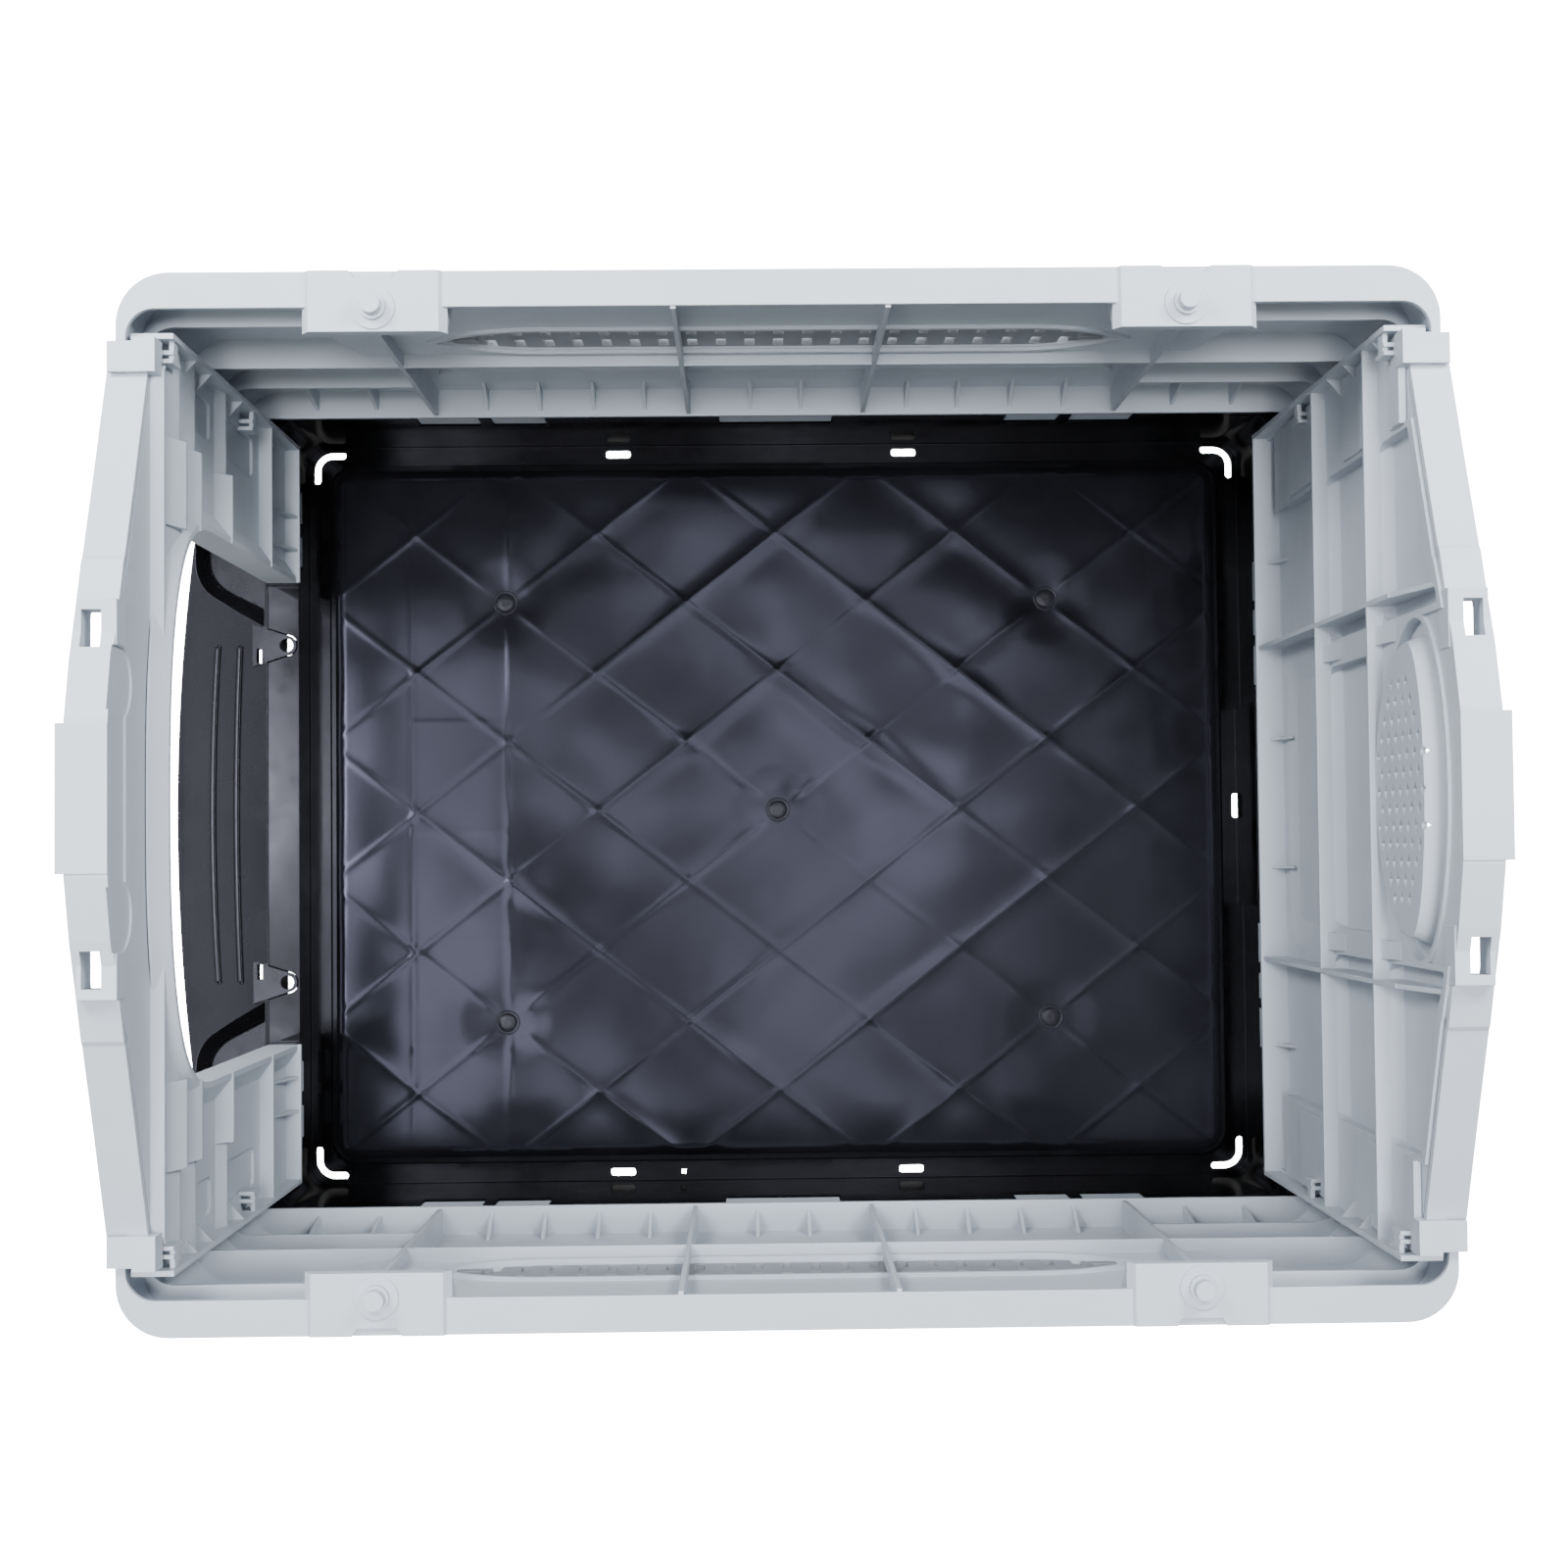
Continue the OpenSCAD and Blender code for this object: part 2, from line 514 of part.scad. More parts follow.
// pocket between two ribs: sloping lower side, flat floor at xf
module cell_cut(y0, y1, z0, z1, xf, sl, r) {
    intersection() {
        xz(y0, y1) polygon([[pl_i - 1, z0 - 0.2 * sl], [pl_i, z0], [xf, z0 + sl], [xf, z1], [pl_i - 1, z1]]);
        yz(pl_i - 2, xf + 1) rbox2(y0, y1, z0 - 1, z1, r);
    }
}
module cell_add(y0, y1, z0, z1, xf, r) { yz(pl_i, xf + skin) rbox2(y0 - skin, y1 + skin, z0 - skin, z1 + skin, r + skin); }
pan_x = 296.3;           // floor of the side pockets
module rear_panel() {
    difference() {
        union() {
            end_plate(rear_bot);
            cell_add(-168.5, 168.5, 71, 196.8, pan_x, 9);
            yz(pl_i, pan_x + skin) rbox2(-end_hy + 1, end_hy - 1, rear_bot, 91, 1);
            yz(pl_i, 302.4) rbox2(-85, 85, 78, 197.5, 14);
            both_y() cell_add(82, 168.5, 198.6, 292.9, pan_x, 9);
            cell_add(-68.5, 68.5, 198.6, 292.9, pan_x, 9);
            intersection() {
                both_y() cell_add(82, 168.5, 294.7, 400, pan_x, 9);
                yz(280, 302) panel2(rear_bot, end_hy - 1, 4);
            }
            // valley round the grille
            intersection() {
                yz(pl_i, 298.4) polygon(egg(82, 53, 45, 344, 40));
                box([pl_i - 1, -100, 294], [sk_o, 100, 397]);
            }
            both_y() yz(pl_i, sk_o) rbox2(180, 207, 90, 190, 3);
            both_y() yz(pl_i, sk_o) rbox2(180, 207, 203, 287, 3);
            // stepped pads above the pockets
            both_y() for (q = [[106, 190, 288.8], [126.5, 190, 287.6], [235, 291, 288.8], [269, 291, 287.6], [316, 336, 288.8], [324, 336, 287.6]])
                box([q[2], 171, q[0]], [pl_i + 1, 213, q[1]]);
        }
        cell_cut(-168.5, 168.5, 71, 196.8, pan_x, 0, 9);
        box([pl_i - 1, -213, 71], [pan_x, 213, 87]);
        // deeper middle of the lower pocket
        intersection() {
            hull() {
                yz(pan_x - 0.1, pan_x) rbox2(-82, 82, 82, 230, 16);
                yz(299.8, 299.9) rbox2(-69, 69, 91, 222, 13);
            }
            box([pl_i, -100, 70], [sk_o, 100, 195.6]);
        }
        both_y() cell_cut(82, 168.5, 198.6, 292.9, pan_x, 3.5, 9);
        cell_cut(-68.5, 68.5, 198.6, 292.9, pan_x, 4, 9);
        intersection() {
            both_y() cell_cut(82, 168.5, 294.7, 400, pan_x, 3.5, 9);
            yz(280, 302) panel2(rear_bot, end_hy - 1, 9);
        }
        intersection() {
            yz(pl_i - 1, 295.4) polygon(egg(79, 50, 42, 344, 44));
            box([pl_i - 2, -100, 297], [sk_o, 100, 397]);
        }
        both_y() yz(pl_i + skin, sk_o + 1) rbox2(183, 204, 93, 187, 1.5);
        both_y() yz(pl_i + skin, sk_o + 1) rbox2(183, 204, 206, 284, 1.5);
        // room behind the grille pad
        intersection() {
            yz(pl_i - 1, sk_o + 1) polygon(egg(70.4, 54.8, 27.8, 347, 40));
            box([pl_i - 1, -100, 297], [sk_o + 1, 100, 397]);
        }
    }
}
module rear_wall_solid() {
    rear_panel();
    difference() {
        intersection() {
            grille_pad(0);
            box([280, -100, 293.8], [298.4, 100, 397.5]);
        }
        intersection() {
            grille_pad(2);
            box([280, -100, 296.2], [sk_o + 9, 100, 395.4]);
        }
        yz(280, sk_o + 1) translate([0, grille_z + 1]) diamonds();
    }
    for (z = [197.7, 293.8]) box([ribx, -end_hy + 1, z - rib_t / 2], [pl_i + 1, end_hy - 1, z + rib_t / 2]);
    box([ribx, -168, 197.7 - rib_t / 2], [pan_x + 1, 168, 197.7 + rib_t / 2]);
    both_y() box([ribx, 82, 293.8 - rib_t / 2], [pan_x + 1, 168, 293.8 + rib_t / 2]);
    both_y() {
        box([ribx, 91 - rib_t / 2, rear_bot + 1], [pan_x + 1, 91 + rib_t / 2, 330]);
        xz(91 - rib_t / 2, 91 + rib_t / 2) polygon([[ribx, 328], [pan_x + 1, 328], [pan_x + 1, 377], [pl_i + 1, 377]]);
        // saddles between the pockets
        xz(71, 80) polygon([[pl_i + 1, 197.7], [286.4, 197.7], [286.4, 199.4], [pl_i - 0.2, 220], [pl_i + 1, 220]]);
        xz(71, 80) polygon([[pl_i + 1, 293.8], [286.4, 293.8], [286.4, 295.6], [pl_i - 0.2, 316], [pl_i + 1, 316]]);
        // small fins on the bottom plate
        for (y = [37.5, 141]) xz(y - 0.8, y + 0.8) polygon([[288, rear_bot + 2], [pan_x + 1, rear_bot + 2], [pan_x + 1, 90], [pan_x, 90]]);
    }
}
module rear_wall() color(grey) difference() {
    union() {
        difference() {
            union() {
                rear_wall_solid();
                side_frame(rear_bot, [230, 262, 312]);
                end_rim();
            }
        }
        tabs(rear_tabs, rear_az, rear_bot);
    }
    tab_bores(rear_tabs, rear_az);
}

// front wall: doorway
function arch(a, z0, h, n) = concat([[a, 0]], [for (i = [0 : 32]) let (t = i * 180 / 32, c = cos(t), s = sin(t))
    [a * (c < 0 ? -1 : 1) * pow(abs(c), 2 / n), z0 + h * pow(abs(s), 2 / n)]], [[-a, 0]]);
module door2(g) { polygon(arch(door_hy + g, door_top - 78, 78 + g, 2.6)); }
// rib of the front wall: edge height, where it steps, height of the slope above it
module front_rib(z, h, y0, y1) {
    xz(-y1, y1) polygon([[pl_i + 1, z - rib_t / 2], [286.1, z - rib_t / 2], [286.1, z + rib_t / 2], [pl_i, z + h], [pl_i + 1, z + h]]);
    both_y() xz(y0, 171.5) polygon([[pl_i + 1, z - rib_t / 2], [ribx, z - rib_t / 2], [ribx, z + rib_t / 2], [pl_i, z + h], [pl_i + 1, z + h]]);
}
module front_wall_solid() {
    difference() {
        union() {
            end_plate(front_bot);
            both_y() yz(pl_i, sk_o) rbox2(176, 209, 134, 205, 3);
            both_y() yz(pl_i, sk_o) rbox2(176, 209, 228, 326, 3);
            both_y() yz(pl_i, sk_o) rbox2(160, 209, 64, 118, 3);
            front_rib(306.3, 24, 130, end_hy - 1);
            front_rib(278.4, 24, 130, end_hy - 1);
            front_rib(215.4, 10, 130, end_hy - 1);
            box([ribx, -end_hy + 1, 124 - rib_t / 2], [pl_i + 1, end_hy - 1, 124 + rib_t / 2]);
            both_y() for (y = [155, 174.5]) xz(y - 0.8, y + 0.8) polygon([[in_x + 0.4, front_bot + 1], [pl_i + 1, front_bot + 1], [pl_i + 1, 88], [pl_i, 88]]);
            // slope below the gable, ending at the eave line
            intersection() {
                xz(-end_hy + 1, end_hy - 1) polygon([[pl_i + 2, eave_z - 4], [286, eave_z - 4], [286, eave_z - 1.6], [rimx_i + 0.2, eave_z + 2.5], [pl_i + 2, eave_z + 2.5]]);
                yz(280, 300) panel2(front_bot, end_hy - 1, 4);
            }
            // doorway surround
            intersection() {
                union() {
                    hull() { yz(ribx + 0.6, ribx + 0.7) door2(3); yz(pl_i + 0.2, pl_i + 1) door2(13); }
                    yz(ribx + 0.6, sk_o) door2(3);
                }
                box([270, -200, front_bot], [310, 200, 400]);
            }
            // lintel tab above the arch
            box([sk_o - 1, -68, door_top - 9], [304, 68, door_top + 10]);
        }
        both_y() yz(pl_i + skin, sk_o + 1) rbox2(179, 206, 137, 202, 1.5);
        both_y() yz(pl_i + skin, sk_o + 1) rbox2(179, 206, 231, 323, 1.5);
        both_y() yz(pl_i + skin, sk_o + 1) rbox2(163, 206, 67, 115, 1.5);
        both_y() yz(pl_i - 1, pl_i + 1.6) rbox2(184, 205, 140, 198, 4);
        both_y() yz(pl_i - 1, pl_i + 1.6) rbox2(186, 205, 234, 262, 4);
        intersection() { yz(270, 302) door2(0); box([270, -200, 0], [sk_o + 0.01, 200, 400]); }
        box([sk_o - 0.02, -200, 0], [320, 200, door_top - 9.01]);
    }
}
module front_wall_plus() color(grey) difference() {
    union() {
        difference() {
            union() {
                front_wall_solid();
                side_frame(front_bot, [195, 260, 289]);
            }
            yz(270, sk_o + 0.5) door2(0);
        }
        end_rim();
        tabs(front_tabs, front_az, front_bot);
    }
    tab_bores(front_tabs, front_az);
    // long shallow recess in the gable
    yz(pl_i - 1, rimx_i + 1) rbox2(-67, 67, 375.5, 398, 16);
}
module front_wall() mirror([1, 0, 0]) front_wall_plus();

// ---------------------------------------------------------------- pins
module front_hinge_pins() color(steel) both_y() ycyl(-end_ax, front_az, 137.9, 199.1, pin_r);
module rear_hinge_pins() color(steel) both_y() ycyl(end_ax, rear_az, 63.9, 150.1, pin_r);
module side_hinge_pins() color(steel) for (p = side_pins) xcyl(side_ay, side_az, p[0] + 0.2, p[1] - 0.2, pin_r);
module left_hinge_pins() side_hinge_pins();
module right_hinge_pins() mirror([0, 1, 0]) side_hinge_pins();

base_tray();
entry_sill();
front_wall();
rear_wall();
left_wall();
right_wall();
left_vent_strip();
right_vent_strip();
front_hinge_pins();
rear_hinge_pins();
left_hinge_pins();
right_hinge_pins();
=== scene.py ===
import bpy, bmesh, math, random
from mathutils import Matrix, Vector, noise


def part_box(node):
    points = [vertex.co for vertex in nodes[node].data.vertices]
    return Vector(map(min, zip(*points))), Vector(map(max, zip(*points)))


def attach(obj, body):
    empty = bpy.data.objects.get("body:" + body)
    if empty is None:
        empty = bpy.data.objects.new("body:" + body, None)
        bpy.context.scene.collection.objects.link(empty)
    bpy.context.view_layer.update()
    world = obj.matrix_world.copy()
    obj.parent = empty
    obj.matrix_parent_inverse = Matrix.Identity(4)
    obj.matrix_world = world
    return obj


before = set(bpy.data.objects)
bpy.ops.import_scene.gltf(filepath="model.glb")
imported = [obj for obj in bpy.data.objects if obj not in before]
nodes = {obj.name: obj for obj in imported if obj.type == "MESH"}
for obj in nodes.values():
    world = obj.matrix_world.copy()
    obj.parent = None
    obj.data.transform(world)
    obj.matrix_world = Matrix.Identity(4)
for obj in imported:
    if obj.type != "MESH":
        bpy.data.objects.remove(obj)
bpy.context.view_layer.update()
MM = 0.001


# ------------------------------------------------------------------ materials
def new_mat(name):
    m = bpy.data.materials.new(name)
    m.use_nodes = True
    nt = m.node_tree
    nt.nodes.clear()
    out = nt.nodes.new("ShaderNodeOutputMaterial")
    bsdf = nt.nodes.new("ShaderNodeBsdfPrincipled")
    nt.links.new(bsdf.outputs[0], out.inputs[0])
    return m, nt, bsdf


def coords(nt, scale=1.0):
    tc = nt.nodes.new("ShaderNodeTexCoord")
    mp = nt.nodes.new("ShaderNodeMapping")
    mp.inputs["Scale"].default_value = (scale, scale, scale) if isinstance(scale, (int, float)) else scale
    nt.links.new(tc.outputs["Object"], mp.inputs[0])
    return mp.outputs[0]


def noise_tex(nt, co, scale, detail=3.0, rough=0.5):
    n = nt.nodes.new("ShaderNodeTexNoise")
    n.inputs["Scale"].default_value = scale
    n.inputs["Detail"].default_value = detail
    n.inputs["Roughness"].default_value = rough
    nt.links.new(co, n.inputs["Vector"])
    return n.outputs["Fac"]


def ramp(nt, fac, lo, hi, p0=0.3, p1=0.7):
    r = nt.nodes.new("ShaderNodeValToRGB")
    r.color_ramp.elements[0].position = p0
    r.color_ramp.elements[1].position = p1
    r.color_ramp.elements[0].color = lo
    r.color_ramp.elements[1].color = hi
    nt.links.new(fac, r.inputs[0])
    return r.outputs[0]


def maprange(nt, fac, a, b, lo, hi):
    m = nt.nodes.new("ShaderNodeMapRange")
    m.inputs["From Min"].default_value = a
    m.inputs["From Max"].default_value = b
    m.inputs["To Min"].default_value = lo
    m.inputs["To Max"].default_value = hi
    nt.links.new(fac, m.inputs["Value"])
    return m.outputs[0]


def mix(nt, a, b, fac, kind="MIX"):
    m = nt.nodes.new("ShaderNodeMix")
    m.data_type = "RGBA"
    m.blend_type = kind
    for sock, v in ((m.inputs["Factor"], fac), (m.inputs["A"], a), (m.inputs["B"], b)):
        if hasattr(v, "is_output"):
            nt.links.new(v, sock)
        else:
            sock.default_value = v
    return m.outputs["Result"]


def bump(nt, height, strength, dist, prev=None):
    b = nt.nodes.new("ShaderNodeBump")
    b.inputs["Strength"].default_value = strength
    b.inputs["Distance"].default_value = dist
    nt.links.new(height, b.inputs["Height"])
    if prev is not None:
        nt.links.new(prev, b.inputs["Normal"])
    return b.outputs[0]


def soft_edges(nt, radius, samples=6):
    """Rounded-edge normal, and a mask that is 1 along the edges."""
    bv = nt.nodes.new("ShaderNodeBevel")
    bv.samples = samples
    bv.inputs["Radius"].default_value = radius
    geo = nt.nodes.new("ShaderNodeNewGeometry")
    dot = nt.nodes.new("ShaderNodeVectorMath")
    dot.operation = "DOT_PRODUCT"
    nt.links.new(bv.outputs[0], dot.inputs[0])
    nt.links.new(geo.outputs["Normal"], dot.inputs[1])
    return bv.outputs[0], maprange(nt, dot.outputs["Value"], 0.995, 0.80, 0.0, 1.0)


def plastic(name, base, dark, light, rough, spec=0.5, grain=0.00004, coat=0.0, radius=0.0006, edge=0.5, rub_and_highlight=None):
    """Moulded plastic: slow tone drift, faint flow marks, fine satin grain, and paler edges that are partly rubbed wear
    and partly a painted highlight.
    """
    m, nt, b = new_mat(name)
    co = coords(nt)
    nrm, mask = soft_edges(nt, radius)
    drift = noise_tex(nt, co, 7.0, 3.0, 0.55)
    col = ramp(nt, drift, (*dark, 1), (*base, 1), 0.35, 0.62)
    flow = noise_tex(nt, coords(nt, (9.0, 9.0, 60.0)), 2.0, 4.0, 0.6)
    col = mix(nt, col, (*light, 1), maprange(nt, flow, 0.5, 0.85, 0.0, 0.35))
    # paler colour along the bevel edge mask: partly rubbed wear, partly a painted highlight standing in for edge glints
    edge_wear_and_highlight = noise_tex(nt, co, 60.0, 3.0, 0.6)
    em = nt.nodes.new("ShaderNodeMath")
    em.operation = "MULTIPLY"
    nt.links.new(mask, em.inputs[0])
    nt.links.new(maprange(nt, edge_wear_and_highlight, 0.3, 0.7, edge * 0.5, edge), em.inputs[1])
    col = mix(nt, col, (*(rub_and_highlight or [min(1.0, c * 1.35) for c in light]), 1), em.outputs[0])
    nt.links.new(col, b.inputs["Base Color"])
    rn = noise_tex(nt, co, 40.0, 4.0, 0.6)
    nt.links.new(maprange(nt, rn, 0.3, 0.7, rough - 0.05, rough + 0.07), b.inputs["Roughness"])
    g1 = noise_tex(nt, co, 1400.0, 2.0, 0.6)
    n1 = bump(nt, g1, 0.35, grain, nrm)
    g2 = noise_tex(nt, co, 22.0, 2.0, 0.5)
    n2 = bump(nt, g2, 0.25, 0.0006, n1)
    nt.links.new(n2, b.inputs["Normal"])
    b.inputs["Specular IOR Level"].default_value = spec
    b.inputs["Coat Weight"].default_value = coat
    b.inputs["Coat Roughness"].default_value = 0.08
    return m


# The edge argument and the optional rub colour set the pale edges: partly wear, partly painted highlight; the pale rub
# colours of the vent and sill paint bright edge lines
GREY = plastic("grey_pp", (0.425, 0.464, 0.518), (0.405, 0.444, 0.498), (0.46, 0.497, 0.55), 0.42, 0.45, 0.00003, 0.0, 0.0007, 0.45)
VENT = plastic("vent_pp", (0.20, 0.214, 0.238), (0.185, 0.198, 0.222), (0.235, 0.25, 0.275), 0.45, 0.45, 0.00003, 0.0, 0.0005, 0.7, (0.55, 0.565, 0.59))
BLACK = plastic("black_gloss_pp", (0.0012, 0.0012, 0.0014), (0.0008, 0.0008, 0.0010), (0.0024, 0.0024, 0.0030), 0.12, 0.34, 0.000006, 0.0, 0.0009, 0.4)
SILL = plastic("black_satin_pp", (0.0065, 0.0065, 0.0078), (0.0045, 0.0045, 0.0055), (0.014, 0.014, 0.017), 0.26, 0.55, 0.00001, 0.0, 0.0008, 0.9, (0.10, 0.102, 0.12))


def steel_mat():
    m, nt, b = new_mat("pin_steel")
    b.inputs["Metallic"].default_value = 1.0
    co = coords(nt, (4.0, 90.0, 90.0))
    f = noise_tex(nt, co, 30.0, 3.0, 0.6)
    nt.links.new(ramp(nt, f, (0.45, 0.45, 0.46, 1), (0.62, 0.62, 0.63, 1)), b.inputs["Base Color"])
    nt.links.new(maprange(nt, f, 0.3, 0.7, 0.25, 0.4), b.inputs["Roughness"])
    return m


STEEL = steel_mat()


def quilt_mat():
    """Glossy black floor whose base colour carries painted sheen: lighter, slightly blue clouds that stand in for hazy
    reflections; the same noise varies the roughness.
    """
    m, nt, b = new_mat("black_floor_pp")
    co = coords(nt)
    sheen_clouds = noise_tex(nt, co, 5.5, 4.0, 0.6)
    # painted sheen: the base colour turns lighter and bluer in the cloud patches
    col = ramp(nt, sheen_clouds, (0.0018, 0.0018, 0.0022, 1), (0.0055, 0.0055, 0.0072, 1), 0.35, 0.7)
    nt.links.new(col, b.inputs["Base Color"])
    nt.links.new(maprange(nt, sheen_clouds, 0.3, 0.7, 0.11, 0.17), b.inputs["Roughness"])
    b.inputs["Specular Tint"].default_value = (0.86, 0.865, 1.0, 1)
    b.inputs["Specular IOR Level"].default_value = 0.55
    g = noise_tex(nt, co, 900.0, 2.0, 0.6)
    n1 = bump(nt, g, 0.3, 0.00001)
    g2 = noise_tex(nt, co, 14.0, 2.0, 0.5)
    n2 = bump(nt, g2, 0.3, 0.0012, n1)
    nt.links.new(n2, b.inputs["Normal"])
    return m


FLOOR_PP = quilt_mat()

ASSIGN = {"base_tray": BLACK, "entry_sill": SILL, "front_wall": GREY, "rear_wall": GREY, "left_wall": GREY, "right_wall": GREY,
          "left_vent_strip": VENT, "right_vent_strip": VENT, "front_hinge_pins": STEEL, "rear_hinge_pins": STEEL,
          "left_hinge_pins": STEEL, "right_hinge_pins": STEEL}
for name, ob in nodes.items():
    mat = ASSIGN[name]
    if not ob.material_slots:
        ob.data.materials.append(mat)
    for s in ob.material_slots:
        s.material = mat


# ------------------------------------------------------------------ helpers
def mesh_obj(name, verts, faces, mat, body="base", smooth=True):
    me = bpy.data.meshes.new(name)
    me.from_pydata(verts, [], faces)
    me.validate()
    me.update()
    if smooth:
        me.shade_smooth()
    ob = bpy.data.objects.new(name, me)
    bpy.context.scene.collection.objects.link(ob)
    me.materials.append(mat)
    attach(ob, body)
    return ob


# ------------------------------------------------------------------ quilted floor
tray_lo, tray_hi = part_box("base_tray")
FLOOR_TOP = 0.018
LEDGE = 0.010
HX, HY, RC = 0.2735, 0.2138, 0.017      # foot of the soft edge
LX, LY = 0.0546, 0.0423                  # diamond lattice


def smoothstep(a, b, t):
    t = max(0.0, min(1.0, (t - a) / (b - a)))
    return t * t * (3 - 2 * t)


def edge_dist(x, y):
    """Distance inside the rounded rectangle at the foot of the raised floor (negative outside)."""
    qx, qy = abs(x) - (HX - RC), abs(y) - (HY - RC)
    out = math.hypot(max(qx, 0), max(qy, 0)) + min(max(qx, qy), 0) - RC
    return -out


GATES = [(0.0, 0.0), (0.1647, 0.1274), (-0.1647, 0.1274), (0.1647, -0.1274), (-0.1647, -0.1274)]


def quilt(x, y):
    """Height of the pillows, the crossing lines and the slow waviness of the moulded floor."""
    u = x / LX
    v = y / LY
    a = (u + v) / 2.0
    b = (u - v) / 2.0
    k = 2.0 / math.hypot(1 / LX, 1 / LY)
    da = abs(a - round(a)) * k
    db = abs(b - round(b)) * k
    # uneven pillows: each diamond shrank a little differently
    ia, ib = math.floor(a), math.floor(b)
    w = noise.noise(Vector((ia * 1.7 + 0.3, ib * 1.9 + 0.7, 5.5)))
    pill = abs(math.sin(math.pi * a)) * abs(math.sin(math.pi * b))
    calm = 0.35 if x < -0.164 else 1.0
    h = (0.00036 + 0.00050 * w * calm) * pill
    for d, s in ((da, 1.3), (db, 8.9)):
        amp = max(0.0, 0.25 + 1.25 * noise.noise(Vector((x * 9 + s, y * 9, 2.2)))) * calm
        h += 0.00042 * amp * math.exp(-(d / 0.0062) ** 2) + 0.00015 * math.exp(-(d / 0.0016) ** 2)
    # strip of extra ribs near the doorway end
    if -0.222 < x < -0.164:
        for yy in (0.0545, -0.0115, -0.0775, -0.1435):
            h += 0.00007 * math.exp(-((y - yy) / 0.0018) ** 2)
    for xx in (-0.2212, -0.164):
        h += 0.00007 * math.exp(-((x - xx) / 0.0020) ** 2)
    h += 0.00070 * calm * noise.noise(Vector((x * 9.5, y * 9.5, 3.1)))
    h += 0.00012 * noise.noise(Vector((x * 24, y * 24, 7.7)))
    for gx, gy in GATES:
        r = math.hypot(x - gx, y - gy)
        h *= smoothstep(0.004, 0.018, r)
        h -= 0.00045 * (1 - smoothstep(0.006, 0.030, r))
    return h


def floor_sheet():
    nx, ny = 366, 286
    ex, ey = HX + 0.0004, HY + 0.0004
    verts, faces, idx = [], [], {}
    for i in range(nx + 1):
        for j in range(ny + 1):
            x = -ex + 2 * ex * i / nx
            y = -ey + 2 * ey * j / ny
            d = edge_dist(x, y)
            if d < -0.0004:
                continue
            t = smoothstep(0.0, 0.0085, d)
            z = LEDGE + 0.0001 + (FLOOR_TOP + 0.00012 - LEDGE) * (1 - (1 - min(1.0, max(d, 0) / 0.0075)) ** 2.2)
            z += t * (0.0010 + quilt(x, y)) * smoothstep(0.002, 0.012, d)
            idx[(i, j)] = len(verts)
            verts.append((x, y, z))
    for i in range(nx):
        for j in range(ny):
            q = [(i, j), (i + 1, j), (i + 1, j + 1), (i, j + 1)]
            q = [idx[k] for k in q if k in idx]
            if len(q) >= 3:
                faces.append(q)
    return mesh_obj("floor_quilting", verts, faces, FLOOR_PP, "base", True)


floor_sheet()


def lathe(name, prof, cx, cy, mat, body, n=40, wob=0.0):
    verts, faces = [], []
    for r, z in prof:
        for k in range(n):
            a = 2 * math.pi * k / n
            rr = r * (1 + wob * math.sin(3 * a + 40 * r))
            verts.append((cx + rr * math.cos(a), cy + rr * math.sin(a), z))
    for i in range(len(prof) - 1):
        for k in range(n):
            faces.append((i * n + k, i * n + (k + 1) % n, (i + 1) * n + (k + 1) % n, (i + 1) * n + k))
    faces.append(tuple((len(prof) - 1) * n + k for k in range(n)))
    return mesh_obj(name, verts, faces, mat, body, True)


# gate marks: a shallow ring round a shiny, slightly torn disc, in the sill material whose pale edges paint highlight
# rings on them
for gi, (gx, gy) in enumerate([(0.0, 0.0), (0.1647, -0.1274), (-0.1647, 0.1274), (0.1647, 0.1274), (-0.1647, -0.1274)]):
    z0 = FLOOR_TOP + 0.0006
    prof = [(0.0078, z0 - 0.0003), (0.0074, z0 + 0.00035), (0.0068, z0 + 0.0005), (0.0063, z0 + 0.00015), (0.0058, z0 + 0.00012),
            (0.0053, z0 + 0.0006), (0.0045, z0 + 0.0008), (0.002, z0 + 0.0009), (0.0008, z0 + 0.00085)]
    lathe("gate_mark_%d" % gi, prof, gx, gy, SILL, "base", 36, 0.015)

# ------------------------------------------------------------------ rounded ribs on the step
RIB = plastic("rib_gloss_pp", (0.006, 0.006, 0.0072), (0.004, 0.004, 0.005), (0.012, 0.012, 0.014), 0.10, 1.0, 0.000004, 0.0, 0.0004, 0.2)
sill_lo, sill_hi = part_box("entry_sill")


def step_rib(name, x0, rad):
    """Half-round bead along a bowed rib, its ends rounded off."""
    top = sill_hi[2] - 0.0012
    verts, faces, n, m, half = [], [], 90, 10, 0.1016
    for i in range(n + 1):
        y = -half * math.cos(math.pi * i / n)
        e = min(1.0, (half - abs(y)) / 0.0022)
        tp = math.sqrt(max(0.0, 1 - (1 - e) ** 2))
        xc = x0 + rad - math.sqrt(rad * rad - y * y)
        t = (-0.3044 - xc) / 0.062
        z = top - (9 * t + 8 * t ** 3) / 1000
        for k in range(m + 1):
            a = math.pi * k / m
            verts.append((xc + 0.0021 * tp * math.cos(a), y, z - 0.0003 + 0.0023 * tp * math.sin(a)))
    w = m + 1
    for i in range(n):
        for k in range(m):
            faces.append((i * w + k, (i + 1) * w + k, (i + 1) * w + k + 1, i * w + k + 1))
    return mesh_obj(name, verts, faces, RIB, "base", True)


step_rib("step_rib_inner", -0.3236, 2.1)
step_rib("step_rib_outer", -0.3386, 1.45)

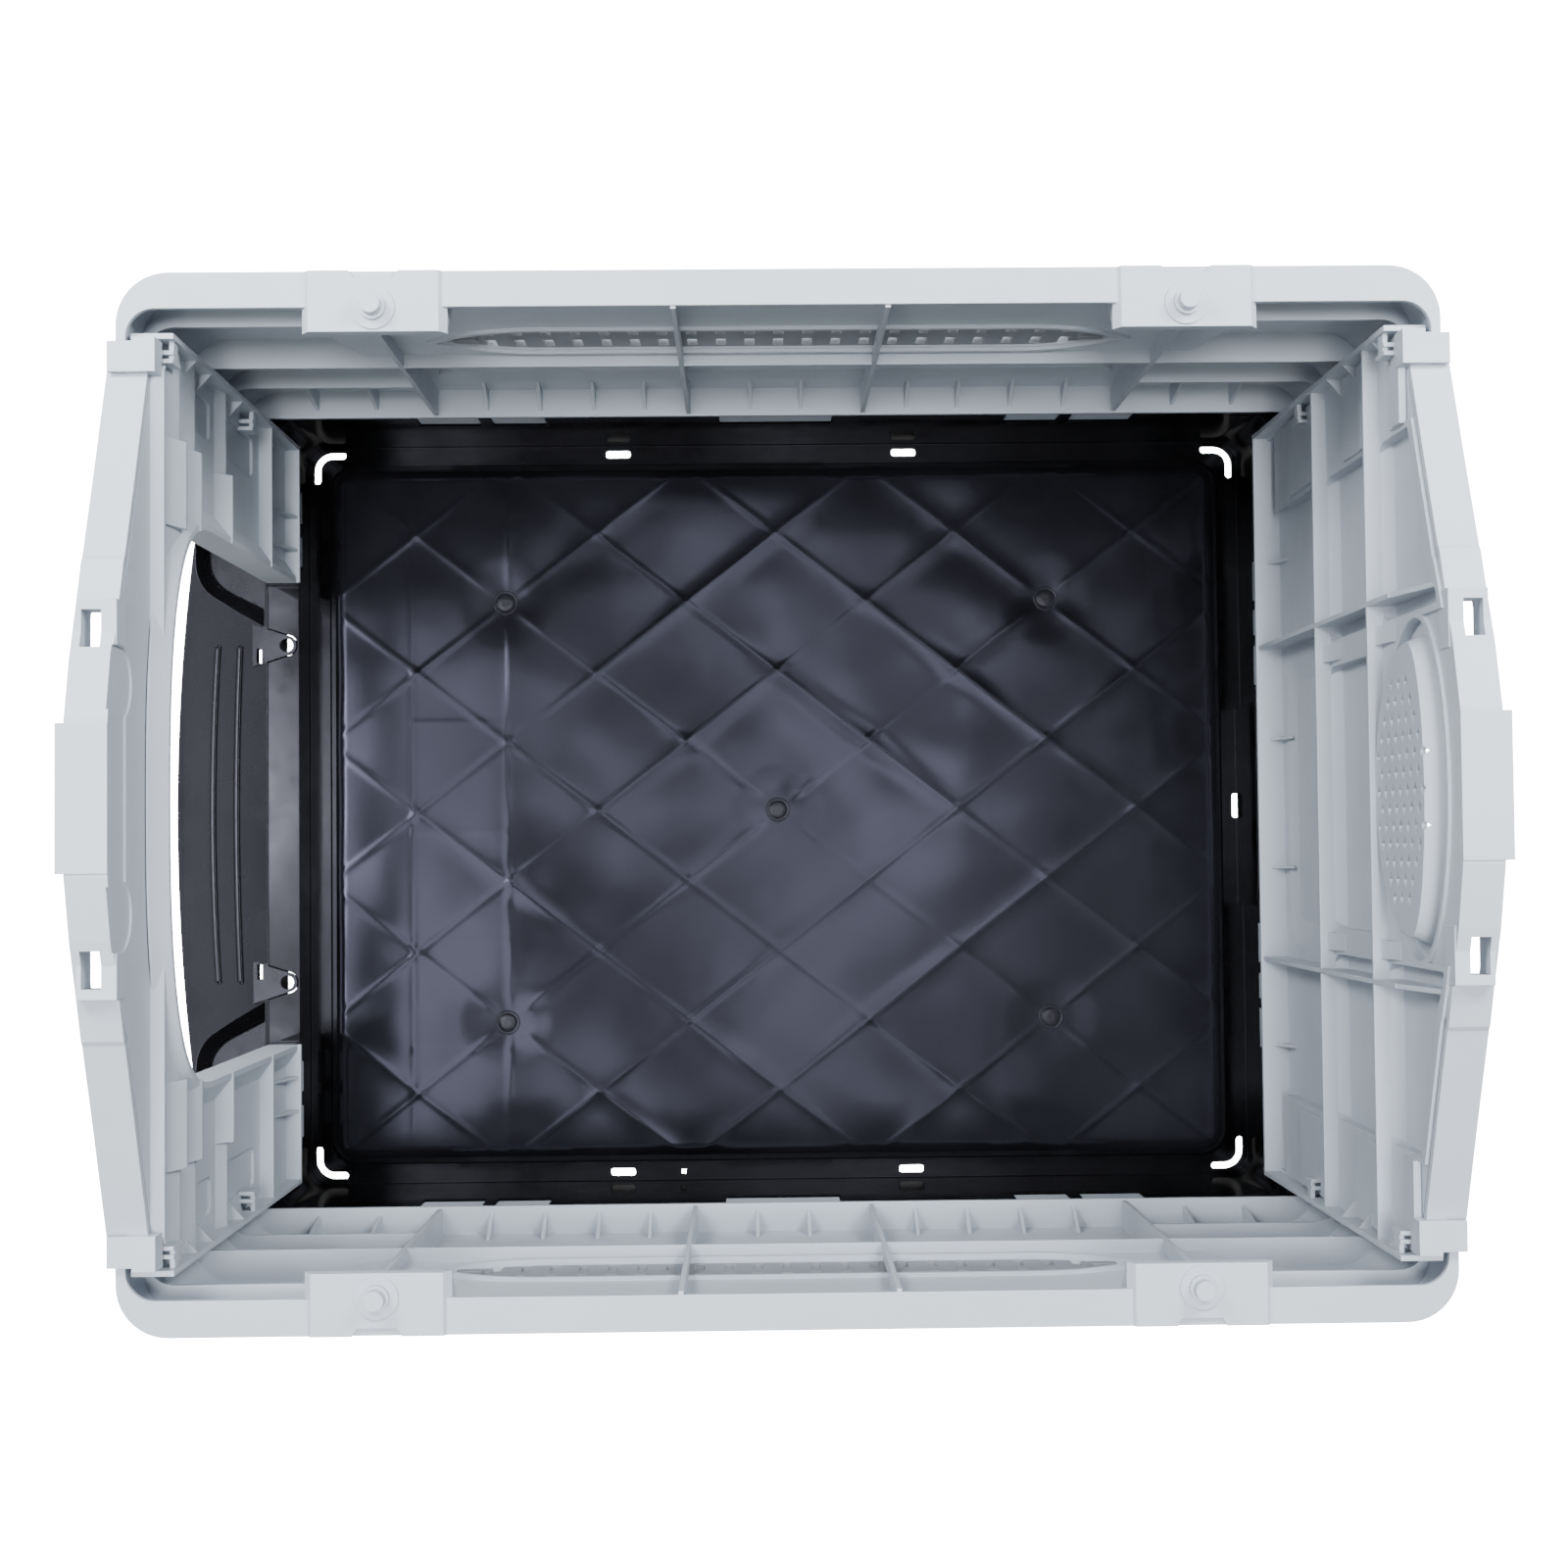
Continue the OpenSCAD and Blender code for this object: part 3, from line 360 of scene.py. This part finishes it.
# ------------------------------------------------------------------ stage, light, camera
me = bpy.data.meshes.new("studio_floor")
me.from_pydata([(-6, -6, 0), (6, -6, 0), (6, 6, 0), (-6, 6, 0)], [], [(0, 1, 2, 3)])
fl = bpy.data.objects.new("studio_floor", me)
bpy.context.scene.collection.objects.link(fl)
m, nt, b = new_mat("studio_white")
b.inputs["Base Color"].default_value = (0.9, 0.9, 0.9, 1)
b.inputs["Roughness"].default_value = 0.8
b.inputs["Emission Color"].default_value = (1, 1, 1, 1)
lp = nt.nodes.new("ShaderNodeLightPath")
nt.links.new(maprange(nt, lp.outputs["Is Camera Ray"], 0.0, 1.0, 0.0, 24.0), b.inputs["Emission Strength"])
nt.links.new(mix(nt, (0.9, 0.9, 0.9, 1), (0.13, 0.13, 0.13, 1), lp.outputs["Is Glossy Ray"]), b.inputs["Base Color"])
me.materials.append(m)

world = bpy.data.worlds.new("studio")
bpy.context.scene.world = world
world.use_nodes = True
wt = world.node_tree
bg = wt.nodes["Background"]
bg.inputs[0].default_value = (0.94, 0.97, 1.0, 1)
tc = wt.nodes.new("ShaderNodeTexCoord")
sx = wt.nodes.new("ShaderNodeSeparateXYZ")
wt.links.new(tc.outputs["Generated"], sx.inputs[0])
mr = wt.nodes.new("ShaderNodeMapRange")
mr.inputs["From Min"].default_value = 0.55
mr.inputs["From Max"].default_value = 0.96
mr.inputs["To Min"].default_value = 0.24
mr.inputs["To Max"].default_value = 0.14
wt.links.new(sx.outputs["Z"], mr.inputs["Value"])
wlp = wt.nodes.new("ShaderNodeLightPath")
wma = wt.nodes.new("ShaderNodeMath")
wma.operation = "MULTIPLY_ADD"
wma.inputs[1].default_value = 24.0
wt.links.new(wlp.outputs["Is Camera Ray"], wma.inputs[0])
wt.links.new(mr.outputs[0], wma.inputs[2])
wt.links.new(wma.outputs[0], bg.inputs[1])
world.cycles_visibility.glossy = False


def area(name, loc, target, size, power, col=(1, 1, 1), sy=None):
    d = bpy.data.lights.new(name, "AREA")
    d.shape = "RECTANGLE"
    d.size = size
    d.size_y = sy or size
    d.energy = power
    d.color = col
    o = bpy.data.objects.new(name, d)
    bpy.context.scene.collection.objects.link(o)
    o.location = loc
    v = Vector(target) - Vector(loc)
    o.rotation_euler = v.to_track_quat("-Z", "Y").to_euler()
    return o


CLOUD = 5.5


def card(name, loc, sx_, sy_, radiance, col=(1, 1, 1), uneven=0.75):
    """A dim overhead card that mostly shows as a reflection in the black floor."""
    o = area(name, loc, (loc[0], loc[1], 0), sx_, radiance * math.pi * sx_ * sy_, col, sy_)
    o.visible_diffuse = False
    # cloudy diffuser: brighter and dimmer patches, mean about 1
    li = o.data
    li.use_nodes = True
    ln = li.node_tree
    em = next(n for n in ln.nodes if n.type == "EMISSION")
    geo = ln.nodes.new("ShaderNodeNewGeometry")
    nz = ln.nodes.new("ShaderNodeTexNoise")
    nz.inputs["Scale"].default_value = CLOUD
    nz.inputs["Detail"].default_value = 2.0
    ln.links.new(geo.outputs["Position"], nz.inputs["Vector"])
    mp = ln.nodes.new("ShaderNodeMapRange")
    mp.inputs["From Min"].default_value = 0.42
    mp.inputs["From Max"].default_value = 0.60
    mp.inputs["To Min"].default_value = 1 - uneven
    mp.inputs["To Max"].default_value = 1 + uneven
    ln.links.new(nz.outputs[0], mp.inputs["Value"])
    ln.links.new(mp.outputs[0], em.inputs["Strength"])
    return o


key = bpy.data.lights.new("overhead", "SUN")
key.energy = 5.6
key.angle = 0.35
key.color = (0.985, 0.99, 1.0)
ko = bpy.data.objects.new("overhead", key)
bpy.context.scene.collection.objects.link(ko)
ko.location = (0, 0, 3)
ko.visible_glossy = False
for nm, loc, size, power, col in (
        ("softbox_a", (-0.6, 0.5, 0.95), 0.35, 13.8, (0.97, 0.985, 1.0)),
        ("softbox_b", (0.6, 0.5, 0.95), 0.35, 15.0, (0.97, 0.985, 1.0)),
        ("fill_front", (0.0, -1.2, 2.4), 0.9, 13.0, (1.0, 1.0, 0.92)),
        ("fill_back", (0.0, 1.2, 2.4), 0.9, 7.5, (0.97, 0.985, 1.0)),
        ("fill_left", (-0.68, 0.0, 0.95), 0.35, 0.8, (1.0, 1.0, 1.0))):
    o = area(nm, loc, (0, 0, 0.3), size, power, col)
    o.visible_glossy = False
LILAC = (0.80, 0.82, 1.0)
card("card_main", (0.01, -0.03, 2.3), 0.74, 1.00, 2.6, LILAC)
card("card_right", (0.56, -0.05, 2.3), 0.34, 0.90, 0.8, LILAC)
card("card_left", (-0.60, -0.20, 2.3), 0.32, 1.04, 4.2, LILAC, 0.15)
card("card_strip", (-0.90, 0.0, 2.3), 0.24, 0.9, 12.0, LILAC)
wall = area("card_wall", (-2.0, 0.0, 1.9), (0.0, 0.0, 1.9), 2.4, 1.5 * math.pi * 2.4 * 2.4, LILAC, 2.4)
wall.visible_diffuse = False

cam_data = bpy.data.cameras.new("camera")
cam = bpy.data.objects.new("camera", cam_data)
bpy.context.scene.collection.objects.link(cam)
cam_data.sensor_width = 36.0
cam_data.sensor_fit = "HORIZONTAL"
cam_data.lens = 49.5
cam_data.clip_end = 50
rx, ry, rz = math.radians(-1.82), math.radians(0.80), math.radians(0.54)
R = Matrix.Rotation(rz, 3, "Z") @ Matrix.Rotation(ry, 3, "Y") @ Matrix.Rotation(rx, 3, "X")
cam.matrix_world = Matrix.Translation((-0.01442, -0.02616, 1.330)) @ R.transposed().to_4x4()
bpy.context.scene.camera = cam
